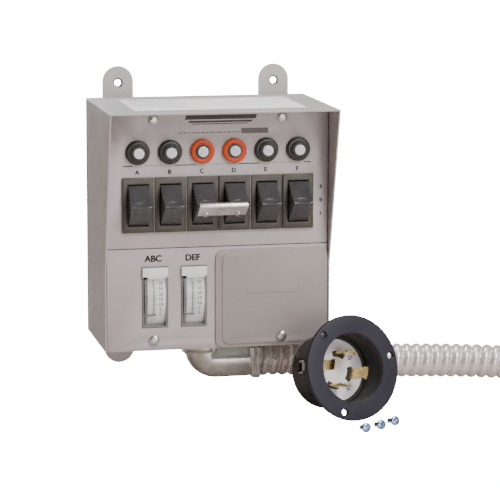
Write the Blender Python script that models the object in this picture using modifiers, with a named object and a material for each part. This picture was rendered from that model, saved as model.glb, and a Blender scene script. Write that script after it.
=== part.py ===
"""Manual transfer switch: wall box, six switched circuits with breakers, two
edgewise meters, a conduit whip, and the flanged inlet that comes with it.

Metres, +Z up. The origin is the middle of the box's back face, the box looks
along -Y, and +X is to its right as seen from the front.
"""
import math

import bmesh
import bpy
from mathutils import Euler, Matrix, Vector

# Box: outer size, how far the panel and the hood over it stand off the wall.
box_width = 0.180
box_height = 0.190
panel_depth = 0.090
hood_depth = 0.122
hood_foot = 0.065          # height over the bottom where the hood has tapered away
wall = 0.0015
sheet = 0.0012             # gauge of the covers and brackets
side_lip = 0.0012          # side walls stand this far in front of the covers
gap = 0.0003               # between pieces that touch
cover_gap = 0.0006         # round the edge of a cover
seam_height = 0.081        # top edge of the lower cover over the bottom

# Mounting tabs.
tab_spacing = 0.128
tab_width = 0.025
tab_rise = 0.025
tab_drop = 0.028
tab_hole = 0.0080

# Cover screws, on both covers' edges.
screw_spacing = 0.1016
screw_inset = 0.0085
screw_head = 0.0080
screw_head_rise = 0.0024
screw_shank = 0.0034
screw_length = 0.0080
screw_hole = 0.0042
rail_leaf = 0.0140

# Six circuits, side by side.
circuits = "abcdef"
pitch = 0.0254
breaker_height = 0.1563    # over the bottom
bushing = 0.0110
bushing_wall = 0.0009
bushing_clearance = 0.0004
collar = 0.0190
collar_rise = 0.0036
button_clearance = 0.0003
breaker_case = (0.0155, 0.030, 0.030)
bushing_reach = {"single": 0.0060, "double": 0.0042}
button_reach = {"single": 0.0090, "double": 0.0063}
button_tail = 0.0165       # button inside the breaker, behind the panel's face
button_spare = 0.0035      # bore behind the button

switch_height = 0.1154
bezel = (0.0251, 0.0430, 0.0025)
switch_case = (0.0218, 0.0384, 0.0250)
case_clearance = 0.0003
window = (0.0164, 0.0328)
window_depth = 0.0135
pivot_depth = 0.0030       # rocker's axis behind the bezel's face
rocker_side_gap = 0.0004
rocker_end_gap = 0.0006
rocker_crest = 0.0200      # crest in front of the bezel
rocker_crest_rise = 0.0010
rocker_edge = 0.0005       # the rocker's ends in front of the bezel
rocker_hub = 0.0060
pin = 0.0030
pin_clearance = 0.0003
pin_reach = 0.0017         # pin into the switch's side wall

tie_gauge = 0.0012
tie_width = 0.0384
tie_upper = 0.0026
tie_lower = 0.0125
tie_screw_at = 0.0102
tie_screw_head = 0.0046
tie_screw_shank = 0.0022
tie_screw_length = 0.0055

# Meters, in windows of the lower cover.
meter_centres = {"abc": -0.0502, "def": -0.0193}
meter_height = 0.0424
meter_window = (0.0207, 0.0485)
meter_case_depth = 0.0480
meter_wall = 0.0012
meter_lip = 0.0006
scale_radius = 0.038
scale_face = 0.0005        # crest of the scale in front of the covers
scale_gauge = 0.0012
scale_left = -0.0056
scale_right = 0.0085
scale_band = 0.0077        # plain band over the scale
scale_band_proud = 0.0016
lens_gap = 0.0024
lens_gauge = 0.0012
pointer_zero = -21.7
pointer_width = 0.0012
pointer_clear = 0.0007
staff = 0.0030
movement = (0.0104, 0.0140, 0.0190)

# Blank plate over the inlet's opening.
plate_left = -0.0022
plate_bottom = 0.0004
plate_top = 0.0785
plate_corner = 0.0060
plate_frame = 0.0052
plate_emboss = 0.0008

# Flanged inlet.
inlet_flange = 0.0823
inlet_flange_thick = 0.0032
inlet_body = 0.0590
inlet_taper = 0.0010
inlet_wall = 0.0016
inlet_length = 0.0470
inlet_recess = 0.0270
inlet_core_thick = 0.0067
inlet_neck = 0.0400
inlet_hole = 0.0050
inlet_hole_inset = 0.0055
inlet_hole_turn = 9.5
blade_circle = 0.0270
blade_arc = 36.0
blade_gauge = 0.0016
blade_length = 0.0215
blade_turn = -20.0
opening_clearance = 0.0015

# Elbow connector and conduit.
elbow_x = -0.0020
elbow_y = -0.0450
elbow_hub = 0.0320
elbow_depth = 0.0310
elbow_reach = 0.0450       # from the hub's middle to the mouth
elbow_drop = 0.0340
conduit_axis = 0.0200      # under the box
conduit = 0.0278
elbow_bore = 0.0215
nipple = 0.0264
nipple_rise = 0.0100
nipple_clearance = 0.0008
locknut = 0.0350
locknut_thick = 0.0035
conduit_points = (         # from the elbow's mouth: across, out, and down from the box's bottom
    (0.0433, -0.0450, 0.0200), (0.0600, -0.0450, 0.0202), (0.0850, -0.0450, 0.0218),
    (0.1150, -0.0450, 0.0242), (0.1450, -0.0450, 0.0259), (0.1720, -0.0451, 0.0270),
    (0.2000, -0.0462, 0.0281), (0.2280, -0.0508, 0.0290), (0.2560, -0.0606, 0.0298),
    (0.2810, -0.0770, 0.0305), (0.3010, -0.0990, 0.0311), (0.3150, -0.1260, 0.0316),
    (0.3225, -0.1560, 0.0319), (0.3245, -0.1850, 0.0320), (0.3247, -0.2182, 0.0320),
    (0.3247, -0.2472, 0.0320), (0.3247, -0.2762, 0.0320),
)
fitting = 0.0310
fitting_length = 0.0240
fitting_thread = 0.0120

# Floor that the loose pieces lie on, under the box.
floor_drop = 0.0480
inlet_place = (0.0957, -0.1448)
inlet_turn = 17.5
loose_screws = ((0.0929, -0.1935), (0.1064, -0.1870), (0.1201, -0.1770))
loose_screw_turn = 10.0
loose_head = 0.0080
loose_shank = 0.0040
loose_length = 0.0095

bottom = -box_height / 2
top = box_height / 2
front = -panel_depth
back_of_cover = front + sheet
inner = box_width / 2 - wall
inlet_body_end = inlet_body - 2 * inlet_taper
inlet_mouth = inlet_body_end - 2 * inlet_wall
inlet_hole_circle = inlet_flange - 2 * inlet_hole_inset


def clear_scene():
    for obj in list(bpy.data.objects):
        bpy.data.objects.remove(obj)


clear_scene()
parts = bpy.data.collections.new("manual_transfer_switch")
cutters = bpy.data.collections.new("cutters")
for group in (parts, cutters):
    bpy.context.scene.collection.children.link(group)


def material(name, colour, roughness, metallic=0.0):
    made = bpy.data.materials.new(name)
    made.use_nodes = True
    shader = made.node_tree.nodes["Principled BSDF"]
    shader.inputs["Base Color"].default_value = (*colour, 1.0)
    shader.inputs["Roughness"].default_value = roughness
    shader.inputs["Metallic"].default_value = metallic
    return made


gray_paint = material("gray_paint", (0.40, 0.38, 0.37), 0.45)
plate_paint = material("plate_paint", (0.33, 0.31, 0.29), 0.45)
black_plastic = material("black_plastic", (0.045, 0.045, 0.045), 0.35)
bezel_plastic = material("bezel_plastic", (0.09, 0.088, 0.075), 0.5)
orange_plastic = material("orange_plastic", (0.80, 0.13, 0.02), 0.4)
white_plastic = material("white_plastic", (0.80, 0.80, 0.84), 0.35)
clear_plastic = material("clear_plastic", (0.85, 0.88, 0.90), 0.05)
bright_zinc = material("bright_zinc", (0.62, 0.60, 0.58), 0.3, 1.0)
die_cast = material("die_cast", (0.50, 0.49, 0.47), 0.4, 1.0)
inlet_plastic = material("inlet_plastic", (0.06, 0.058, 0.10), 0.6)


def link(obj, group):
    for owner in list(obj.users_collection):
        owner.objects.unlink(obj)
    group.objects.link(obj)


def cutter(obj):
    """A solid that only cuts or joins: kept out of the part."""
    link(obj, cutters)
    obj.hide_render = True
    obj.display_type = 'WIRE'
    return obj


def part(obj, name, finish, parent=None, smooth=True):
    obj.name = name
    link(obj, parts)
    obj.data.materials.clear()
    obj.data.materials.append(finish)
    if smooth:
        obj.data.shade_smooth()
        obj.data.set_sharp_from_angle(angle=math.radians(30))
    if parent:
        place = obj.matrix_world.copy()
        obj.parent = parent
        obj.matrix_parent_inverse = parent.matrix_world.inverted()
        obj.matrix_world = place
    return obj


def from_bmesh(bm, name, location=(0, 0, 0), rotation=(0, 0, 0)):
    mesh = bpy.data.meshes.new(name)
    bm.to_mesh(mesh)
    bm.free()
    obj = bpy.data.objects.new(name, mesh)
    obj.location = location
    obj.rotation_euler = rotation
    bpy.context.scene.collection.objects.link(obj)
    bpy.context.view_layer.update()
    return obj


def block(low, high, bevel=0.0):
    """A box between two corners, its edges bevelled where asked."""
    low, high = Vector(low), Vector(high)
    bm = bmesh.new()
    bmesh.ops.create_cube(bm, size=1.0)
    bmesh.ops.scale(bm, vec=high - low, verts=bm.verts)
    obj = from_bmesh(bm, "block", (low + high) / 2)
    if bevel:
        round_edges(obj, bevel)
    return obj


def round_edges(obj, width, segments=2):
    mod = obj.modifiers.new("edges", 'BEVEL')
    mod.width = width
    mod.segments = segments
    mod.limit_method = 'ANGLE'


along = {"x": (0, math.pi / 2, 0), "y": (math.pi / 2, 0, 0), "z": (0, 0, 0)}


def rod(diameter, start, length, axis, sides=20):
    """A cylinder from start along +x, -y or +z (y runs to the front)."""
    bm = bmesh.new()
    bmesh.ops.create_cone(bm, cap_ends=True, segments=sides, radius1=diameter / 2,
                          radius2=diameter / 2, depth=length)
    bmesh.ops.translate(bm, vec=(0, 0, length / 2), verts=bm.verts)
    return from_bmesh(bm, "rod", start, along[axis])


def turned(profile, start, rotation, sides=32):
    """A closed outline of (radius, height) turned about the local Z axis."""
    bm = bmesh.new()
    points = [bm.verts.new((radius, 0, height)) for radius, height in profile]
    on_axis = profile[0][0] == 0 and profile[-1][0] == 0
    pairs = list(zip(points, points[1:]))
    if not on_axis:
        pairs.append((points[-1], points[0]))
    for pair in pairs:
        bm.edges.new(pair)
    obj = from_bmesh(bm, "turned", start, rotation)
    mod = obj.modifiers.new("turn", 'SCREW')
    mod.steps = mod.render_steps = sides
    mod.use_merge_vertices = True
    mod.merge_threshold = 0.00001
    return frozen(obj)


def frozen(obj):
    """The object as a plain mesh, with its modifiers applied."""
    graph = bpy.context.evaluated_depsgraph_get()
    graph.update()
    mesh = bpy.data.meshes.new_from_object(obj.evaluated_get(graph))
    bm = bmesh.new()
    bm.from_mesh(mesh)
    bmesh.ops.remove_doubles(bm, verts=bm.verts, dist=0.000001)
    bmesh.ops.recalc_face_normals(bm, faces=bm.faces)
    bm.to_mesh(mesh)
    bm.free()
    made = bpy.data.objects.new(obj.name, mesh)
    made.matrix_world = obj.matrix_world.copy()
    bpy.context.scene.collection.objects.link(made)
    bpy.data.objects.remove(obj)
    bpy.context.view_layer.update()
    return made


def outline(points, thickness, frame):
    """A flat outline, thickened both ways from its plane, in the given frame."""
    curve = bpy.data.curves.new("outline", 'CURVE')
    curve.dimensions = '2D'
    curve.fill_mode = 'BOTH'
    curve.extrude = thickness / 2
    spline = curve.splines.new('POLY')
    spline.points.add(len(points) - 1)
    for spot, (x, y) in zip(spline.points, points):
        spot.co = (x, y, 0, 1)
    spline.use_cyclic_u = True
    obj = bpy.data.objects.new("outline", curve)
    obj.matrix_world = frame
    bpy.context.scene.collection.objects.link(obj)
    bpy.context.view_layer.update()
    return frozen(obj)


def facing_front(y):
    """Local x, y become world X, Z, at this Y."""
    return Matrix.Translation((0, y, 0)) @ Euler((math.pi / 2, 0, 0)).to_matrix().to_4x4()


def facing_side(x, y=0.0, z=0.0):
    """Local x runs to the front (-Y), local y up, at this X."""
    turn = Matrix(((0, 0, 1), (-1, 0, 0), (0, 1, 0))).to_4x4()
    turn.col[2] = Vector((-1, 0, 0, 0))
    return Matrix.Translation((x, y, z)) @ turn


def arc(centre, radius, first, last, count):
    """Points on an arc, angles in degrees."""
    step = (last - first) / (count - 1)
    angles = [math.radians(first + step * i) for i in range(count)]
    return [(centre[0] + radius * math.cos(a), centre[1] + radius * math.sin(a)) for a in angles]


def rounded(low, high, radius, count=5):
    """A rectangle with round corners."""
    corners = ((high[0] - radius, high[1] - radius, 0), (low[0] + radius, high[1] - radius, 90),
               (low[0] + radius, low[1] + radius, 180), (high[0] - radius, low[1] + radius, 270))
    return [p for x, y, turn in corners for p in arc((x, y), radius, turn, turn + 90, count)]


def offset_line(points, distance):
    """A three-point line moved to its left by a distance, with a sharp corner."""
    (a, b, c) = (Vector(p) for p in points)
    first, second = (b - a).normalized(), (c - b).normalized()
    left_first, left_second = Vector((-first.y, first.x)), Vector((-second.y, second.x))
    corner = (left_first + left_second) / (1 + left_first.dot(left_second))
    return [a + left_first * distance, b + corner * distance, c + left_second * distance]


def boolean(obj, tool, operation):
    mod = obj.modifiers.new(operation.lower(), 'BOOLEAN')
    mod.operation = operation
    mod.object = cutter(tool)
    mod.solver = 'EXACT'


def cut(obj, *tools):
    for tool in tools:
        boolean(obj, tool, 'DIFFERENCE')


def join(obj, *tools):
    for tool in tools:
        boolean(obj, tool, 'UNION')


def empty_at(name, location):
    made = bpy.data.objects.new(name, None)
    made.location = location
    made.empty_display_size = 0.01
    parts.objects.link(made)
    bpy.context.view_layer.update()
    return made


def circuit_x(index):
    return (index - (len(circuits) - 1) / 2) * pitch


cover_screws = {
    "top_left": (-screw_spacing / 2, top - screw_inset),
    "top_right": (screw_spacing / 2, top - screw_inset),
    "bottom_left": (-screw_spacing / 2, bottom + screw_inset),
    "bottom_right": (screw_spacing / 2, bottom + screw_inset),
}


def tab(x, edge, length, upward):
    """A mounting tab in the plane of the back wall, round at its end."""
    radius = tab_width / 2
    end = edge + upward * (length - radius)
    root = edge - upward * 0.008
    turn = 0 if upward > 0 else 180
    points = [(x - upward * radius, root), (x + upward * radius, root)]
    points += arc((x, end), radius, turn, turn + 180, 13)
    plate = outline(points, wall, facing_front(-wall / 2))
    hole = rod(tab_hole, (x, wall, end - upward * 0.001), 3 * wall, "y")
    return plate, hole


def rear_box():
    lip = front - side_lip
    foot = bottom + hood_foot
    side = [(0, bottom), (-lip, bottom), (-lip, foot), (hood_depth, top), (0, top)]
    obj = outline(side, box_width, facing_side(0))
    round_edges(obj, 0.0009)
    reach = 0.01
    cut(obj, block((-inner, -hood_depth - reach, bottom + wall), (inner, -wall, top - wall)))
    ledge = back_of_cover + gap
    cut(obj, block((-inner, lip - reach, bottom - reach), (inner, ledge, bottom + wall + gap)))
    flange_rise = 2 * screw_inset
    low = (-inner - gap, ledge, bottom + wall / 2)
    join(obj, block(low, (inner + gap, ledge + sheet, bottom + flange_rise)))
    for name in ("bottom_left", "bottom_right"):
        x, z = cover_screws[name]
        cut(obj, rod(screw_hole, (x, ledge + 2 * sheet, z), 4 * sheet, "y", 12))
    for x in (-tab_spacing / 2, tab_spacing / 2):
        for edge, length, upward in ((top, tab_rise, 1), (bottom, tab_drop, -1)):
            plate, hole = tab(x, edge, length, upward)
            join(obj, plate)
            cut(obj, hole)
    cut(obj, rod(nipple + 2 * nipple_clearance, (elbow_x, elbow_y, bottom - wall), 3 * wall, "z"))
    part(obj, "rear_box", gray_paint)


def panel_rail():
    """Angle that carries the upper panel's top edge."""
    low, high = back_of_cover + gap, top - wall - gap
    depth = rail_leaf
    side = [(-low, high), (-low, high - depth), (-low - sheet, high - depth),
            (-low - sheet, high - sheet), (-low - depth, high - sheet), (-low - depth, high)]
    obj = outline(side, 2 * (inner - cover_gap), facing_side(0))
    for name in ("top_left", "top_right"):
        x, z = cover_screws[name]
        cut(obj, rod(screw_hole, (x, low + 2 * sheet, z), 4 * sheet, "y", 12))
    part(obj, "panel_rail", gray_paint)


def upper_panel():
    side = inner - cover_gap
    obj = block((-side, front, bottom + seam_height + gap), (side, back_of_cover, top - wall - cover_gap))
    for index in range(len(circuits)):
        x = circuit_x(index)
        hole = bushing + 2 * bushing_clearance
        cut(obj, rod(hole, (x, back_of_cover + sheet, bottom + breaker_height), 3 * sheet, "y"))
        half_width = switch_case[0] / 2 + case_clearance
        half_height = switch_case[1] / 2 + case_clearance
        z = bottom + switch_height
        cut(obj, block((x - half_width, front - sheet, z - half_height),
                       (x + half_width, back_of_cover + sheet, z + half_height)))
    for name in ("top_left", "top_right"):
        x, z = cover_screws[name]
        cut(obj, rod(screw_hole, (x, back_of_cover + sheet, z), 3 * sheet, "y", 12))
    part(obj, "upper_panel", gray_paint, smooth=False)


def plate_span():
    """Left, right, bottom and top of the blank plate."""
    return plate_left, inner - cover_gap, bottom + plate_bottom, bottom + plate_top


def lower_cover():
    side = inner - cover_gap
    obj = block((-side, front, bottom), (side, back_of_cover, bottom + seam_height - gap))
    for x in meter_centres.values():
        z = bottom + meter_height
        half_width, half_height = meter_window[0] / 2, meter_window[1] / 2
        cut(obj, block((x - half_width, front - sheet, z - half_height),
                       (x + half_width, back_of_cover + sheet, z + half_height)))
    left, right, low, high = plate_span()
    opening = inlet_body + 2 * opening_clearance
    centre = ((left + right) / 2, bottom + seam_height / 2)
    cut(obj, rod(opening, (centre[0], back_of_cover + sheet, centre[1]), 3 * sheet, "y", 40))
    for name in ("bottom_left", "bottom_right"):
        x, z = cover_screws[name]
        cut(obj, rod(screw_hole, (x, back_of_cover + sheet, z), 3 * sheet, "y", 12))
    part(obj, "lower_cover", gray_paint, smooth=False)


def blank_plate():
    left, right, low, high = plate_span()
    face = front - gap - sheet
    obj = outline(rounded((left, low), (right, high), plate_corner), sheet, facing_front(face + sheet / 2))
    inside = rounded((left + plate_frame, low + plate_frame / 2),
                     (right - plate_frame / 2, high - plate_frame / 2),
                     plate_corner)
    thick = plate_emboss + sheet / 2
    emboss = outline(inside, thick, facing_front(face - plate_emboss + thick / 2))
    join(obj, emboss)
    x, z = cover_screws["bottom_right"]
    cut(obj, rod(screw_hole, (x, front + sheet, z), 4 * sheet, "y", 12))
    part(obj, "inlet_blank_plate", plate_paint, smooth=False)
    return face - plate_emboss


def pan_screw(name, seat, finish, rotation, head, rise, shank, length, slot_depth=0.0009):
    """A pan head on a plain shank, seat to the head's underside, with a cross slot."""
    r = head / 2
    profile = [(0, rise), (r * 0.62, rise * 0.92), (r, rise * 0.3), (r, 0),
               (shank / 2, 0), (shank / 2, -length), (0, -length)]
    obj = turned(profile, seat, rotation, 14)
    turn = Euler(rotation).to_matrix().to_4x4()
    slot = 0.0012
    for angle in (0, math.pi / 2):
        bar = block((-r * 0.62, -slot / 2, rise - slot_depth), (r * 0.62, slot / 2, rise + slot_depth))
        bar.matrix_world = (Matrix.Translation(seat) @ turn @ Matrix.Rotation(angle, 4, 'Z')
                            @ Matrix.Translation((0, 0, rise)))
        cut(obj, bar)
    part(obj, name, finish)
    return obj


def cover_screw_set(plate_face):
    for name, (x, z) in cover_screws.items():
        seat = plate_face if name == "bottom_right" else front
        extra = front - seat
        pan_screw("cover_screw_" + name, (x, seat - gap, z), bright_zinc, along["y"],
                  screw_head, screw_head_rise, screw_shank, screw_length + extra)


def breaker(index):
    letter = circuits[index]
    kind = "double" if letter in "cd" else "single"
    x, z = circuit_x(index), bottom + breaker_height
    width, height, depth = breaker_case
    rear = back_of_cover + gap
    body = block((x - width / 2, rear, z - height / 2), (x + width / 2, rear + depth, z + height / 2))
    reach = bushing_reach[kind]
    join(body, rod(bushing, (x, rear + 0.002, z), panel_depth + rear + 0.002 + reach, "y", 20))
    bore = bushing - 2 * bushing_wall
    tail = front + button_tail
    spare = tail + button_spare
    cut(body, rod(bore, (x, spare, z), panel_depth + spare + reach + 0.002, "y", 20))
    part(body, "breaker_body_" + letter, black_plastic)
    ring = bushing / 2 + gap
    outer = collar / 2
    profile = [(outer, 0), (outer, -collar_rise * 0.7), (outer - 0.0011, -collar_rise),
               (ring + 0.0009, -collar_rise), (ring, -collar_rise + 0.0007), (ring, 0)]
    profile = [(radius, -height) for radius, height in profile]
    finish = orange_plastic if kind == "double" else black_plastic
    part(turned(profile, (x, front - gap, z), along["y"], 20), "breaker_collar_" + letter, finish)
    axis = empty_at("button_axis_" + letter, (x, front, z))
    radius = bore / 2 - button_clearance
    out = button_reach[kind]
    button = [(0, out), (radius - 0.0006, out), (radius, out - 0.0006),
              (radius, -button_tail), (0, -button_tail)]
    part(turned(button, (x, front, z), along["y"], 20), "breaker_button_" + letter, white_plastic, axis)


def rocker_outline():
    """Side view about the rocker's axis: x to the front, y up."""
    half = window[1] / 2 - rocker_end_gap
    edge = pivot_depth + rocker_edge
    crest = (pivot_depth + rocker_crest, rocker_crest_rise)
    ends = half - edge * edge / (2 * half)
    return [(edge, -ends), (crest[0] - 0.0008, crest[1] - 0.0010), crest,
            (crest[0] - 0.0008, crest[1] + 0.0009), (edge, ends), (0.0, ends),
            (-rocker_hub * 0.7, ends * 0.75), (-rocker_hub, ends * 0.45),
            (-rocker_hub, -ends * 0.45), (-rocker_hub * 0.7, -ends * 0.75), (0.0, -ends)]


def tie_line():
    """Lower leaf, crest and upper leaf of the handle tie, on the rocker's faces."""
    points = rocker_outline()
    crest, lower, upper = Vector(points[2]), Vector(points[0]), Vector(points[4])
    down, up = (lower - crest).normalized(), (upper - crest).normalized()
    return crest, down, up


def tie_screw_spot():
    """Where a tie screw's head sits on the lower leaf, and the leaf's outward direction."""
    crest, down, up = tie_line()
    out = Vector((-down.y, down.x))
    return crest + down * tie_screw_at, out


def switch(index):
    letter = circuits[index]
    x, z = circuit_x(index), bottom + switch_height
    face = front - bezel[2]
    body = block((x - bezel[0] / 2, face, z - bezel[1] / 2),
                 (x + bezel[0] / 2, front - gap, z + bezel[1] / 2))
    join(body, block((x - switch_case[0] / 2, face + 0.001, z - switch_case[1] / 2),
                     (x + switch_case[0] / 2, front + switch_case[2], z + switch_case[1] / 2)))
    cut(body, block((x - window[0] / 2, face - 0.001, z - window[1] / 2),
                    (x + window[0] / 2, face + window_depth, z + window[1] / 2)))
    hinge_y = face + pivot_depth
    bore_half = window[0] / 2 + pin_reach + 2 * pin_clearance
    cut(body, rod(pin + 2 * pin_clearance, (x - bore_half, hinge_y, z), 2 * bore_half, "x", 16))
    part(body, "switch_body_" + letter, bezel_plastic)
    axis = empty_at("rocker_axis_" + letter, (x, hinge_y, z))
    width = window[0] - 2 * rocker_side_gap
    paddle = outline(rocker_outline(), width, facing_side(x, hinge_y, z))
    pin_half = window[0] / 2 + pin_reach
    join(paddle, rod(pin, (x - pin_half, hinge_y, z), 2 * pin_half, "x", 16))
    if letter in "cd":
        spot, out = tie_screw_spot()
        tilt = math.atan2(out.y, out.x)
        hole = rod(tie_screw_shank + 2 * gap, (0, 0, 0), tie_screw_length + 0.003, "z", 16)
        deep = Matrix.Translation((0, 0, -tie_screw_length - 0.0006))
        hole.matrix_world = screw_frame(x, hinge_y, z, spot, tilt) @ deep
        cut(paddle, hole)
    part(paddle, "rocker_" + letter, black_plastic, axis)


def screw_frame(x, hinge_y, z, spot, tilt):
    """Frame whose Z runs out of the rocker's lower face at the tie screw."""
    at = Matrix.Translation((x, hinge_y - spot.x, z + spot.y))
    return at @ Matrix.Rotation(math.pi / 2 - tilt, 4, 'X')


def handle_tie():
    hinge_y, z = front - bezel[2] + pivot_depth, bottom + switch_height
    crest, down, up = tie_line()
    middle = [crest + down * tie_lower, crest, crest + up * tie_upper]
    inside = offset_line(middle, -gap - 0.0001)
    outside = offset_line(middle, -gap - 0.0001 - tie_gauge)
    obj = outline([tuple(p) for p in inside + outside[::-1]], tie_width, facing_side(0, hinge_y, z))
    spot, out = tie_screw_spot()
    tilt = math.atan2(out.y, out.x)
    for index in (2, 3):
        hole = rod(tie_screw_shank + 2 * gap, (0, 0, 0), 0.006, "z", 16)
        deep = Matrix.Translation((0, 0, -0.003))
        hole.matrix_world = screw_frame(circuit_x(index), hinge_y, z, spot, tilt) @ deep
        cut(obj, hole)
    axis = bpy.data.objects["rocker_axis_c"]
    part(obj, "handle_tie", bright_zinc, axis, smooth=False)
    seat = gap + 0.0001 + tie_gauge + gap
    r, s, length = tie_screw_head / 2, tie_screw_shank / 2, tie_screw_length
    profile = [(0, r * 0.85)] + [(r * math.sin(math.radians(a)), r * 0.85 * math.cos(math.radians(a)))
                                 for a in (30, 60, 90)]
    profile += [(s, 0), (s, -length), (0, -length)]
    for index, side in ((2, "left"), (3, "right")):
        obj = turned(profile, (0, 0, 0), (0, 0, 0), 12)
        obj.matrix_world = (screw_frame(circuit_x(index), hinge_y, z, spot, tilt)
                            @ Matrix.Translation((0, 0, seat)))
        part(obj, "tie_screw_" + side, bright_zinc, axis)


def meter(group):
    x, z = meter_centres[group], bottom + meter_height
    half_width, half_height = meter_window[0] / 2 - gap, meter_window[1] / 2 - gap
    lip = front - meter_lip
    back = lip + meter_case_depth
    case = block((x - half_width, lip, z - half_height), (x + half_width, back, z + half_height))
    inside_width, inside_height = half_width - meter_wall, half_height - meter_wall
    cut(case, block((x - inside_width, lip - 0.001, z - inside_height),
                    (x + inside_width, back - meter_wall, z + inside_height)))
    pivot_y = front - scale_face + scale_radius
    width, height, depth = movement
    left = x - inside_width + 2 * pointer_clear + pointer_width
    join(case, block((left, pivot_y - depth / 2, z - height / 2),
                     (left + width, back - meter_wall / 2, z + height / 2)))
    bore = staff + 2 * pin_clearance
    cut(case, rod(bore, (left - 0.001, pivot_y, z), 0.0045, "x", 16))
    part(case, "meter_case_" + group, black_plastic, smooth=False)

    band_low = half_height - scale_band
    turn = math.degrees(math.asin(band_low / scale_radius))
    end = -math.degrees(math.asin((inside_height - 2 * gap) / scale_radius))
    outer = arc((0, 0), scale_radius, end, turn, 15)
    inner_arc = arc((0, 0), scale_radius - scale_gauge, turn, end, 15)
    strip = outline(outer + inner_arc, scale_right - scale_left,
                    facing_side(x + (scale_left + scale_right) / 2, pivot_y, z))
    root_y = pivot_y - (scale_radius - scale_gauge) * math.cos(math.radians(turn))
    join(strip, block((x + scale_left, lip - gap - scale_band_proud, z + band_low - scale_gauge),
                      (x + scale_right, root_y + 0.0006, z + band_low + 0.0016)))
    join(strip, block((x - half_width, lip - gap - scale_band_proud, z + band_low + 0.0002),
                      (x + half_width, lip - gap, z + half_height - 0.0004)))
    part(strip, "meter_scale_" + group, white_plastic, smooth=False)

    lens_inner = scale_radius + lens_gap
    lens_outer = lens_inner + lens_gauge
    turn = math.degrees(math.asin((band_low - scale_gauge - gap) / lens_outer))
    end = -math.degrees(math.asin((inside_height - gap) / lens_outer))
    cover = outline(arc((0, 0), lens_outer, end, turn, 15) + arc((0, 0), lens_inner, turn, end, 15),
                    2 * (inside_width - gap), facing_side(x, pivot_y, z))
    part(cover, "meter_lens_" + group, clear_plastic)

    axis = empty_at("pointer_axis_" + group, (x, pivot_y, z))
    tip_inner = scale_radius + pointer_clear
    tip_outer = tip_inner + 0.0008
    arm_x = x - inside_width + pointer_clear
    aim = Matrix.Translation((0, pivot_y, z)) @ Matrix.Rotation(math.radians(-pointer_zero), 4, 'X')
    arm = block((arm_x, -tip_outer, -0.0005), (arm_x + pointer_width, 0, 0.0005))
    arm.matrix_world = aim @ arm.matrix_world
    tip = block((arm_x, -tip_outer, -0.0005), (x + scale_left + 0.0062, -tip_inner, 0.0005))
    tip.matrix_world = aim @ tip.matrix_world
    arm = frozen(arm)
    join(arm, tip, rod(staff, (arm_x, pivot_y, z), pointer_width + pointer_clear + 0.0025, "x", 16))
    part(arm, "meter_pointer_" + group, black_plastic, axis, smooth=False)


def elbow():
    floor = bottom - elbow_drop
    left, right = elbow_x - elbow_hub / 2, elbow_x + elbow_reach
    hub_right = elbow_x + elbow_hub / 2
    axis_z = bottom - conduit_axis
    split = axis_z + 0.0055
    sweep = elbow_drop - 0.0115
    points = [(hub_right, bottom - gap), (left, bottom - gap)]
    points += arc((left + sweep, floor + sweep), sweep, 180, 270, 8)
    points += [(right, floor), (right, split), (hub_right, split)]
    body = outline(points, elbow_depth, facing_front(elbow_y))
    round_edges(body, 0.0030)
    body = frozen(body)
    join(body, rod(nipple, (elbow_x, elbow_y, bottom - 0.004), 0.004 + wall + nipple_rise, "z", 24))
    cut(body, rod(elbow_bore, (elbow_x, elbow_y, axis_z), conduit_axis + wall + nipple_rise + 0.002, "z", 24))
    cut(body, rod(elbow_bore, (elbow_x - elbow_bore * 0.3, elbow_y, axis_z), elbow_reach + 0.02, "x", 24))
    part(body, "elbow_body", die_cast)
    lid_top = bottom - 0.0032
    lid = block((hub_right + gap, elbow_y - elbow_depth / 2, split + gap),
                (right - 0.0008, elbow_y + elbow_depth / 2, lid_top), 0.0012)
    lid = frozen(lid)
    cut(lid, rod(elbow_bore, (elbow_x, elbow_y, axis_z), elbow_reach + 0.02, "x", 24))
    part(lid, "elbow_clamp", die_cast)
    inside = bottom + wall + gap
    profile = [(locknut / 2, 0), (locknut / 2, locknut_thick),
               (nipple / 2 + gap, locknut_thick), (nipple / 2 + gap, 0)]
    part(turned(profile[::-1], (elbow_x, elbow_y, inside), (0, 0, 0), 24), "elbow_locknut", bright_zinc)


def smooth_route(points, step):
    """Points at even steps along a smooth curve through the given ones."""
    spots = [Vector(p) for p in points]
    spots = [2 * spots[0] - spots[1]] + spots + [2 * spots[-1] - spots[-2]]
    fine = []
    for a, b, c, d in zip(spots, spots[1:], spots[2:], spots[3:]):
        for i in range(12):
            t = i / 12
            fine.append(0.5 * (2 * b + (c - a) * t + (2 * a - 5 * b + 4 * c - d) * t * t
                               + (3 * b - a - 3 * c + d) * t ** 3))
    fine.append(spots[-2])
    route, travelled = [fine[0]], 0.0
    for before, after in zip(fine, fine[1:]):
        travelled += (after - before).length
        if travelled >= step:
            route.append(after)
            travelled = 0.0
    if (route[-1] - fine[-1]).length < step / 2:
        route.pop()
    return route + [fine[-1]]


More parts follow.
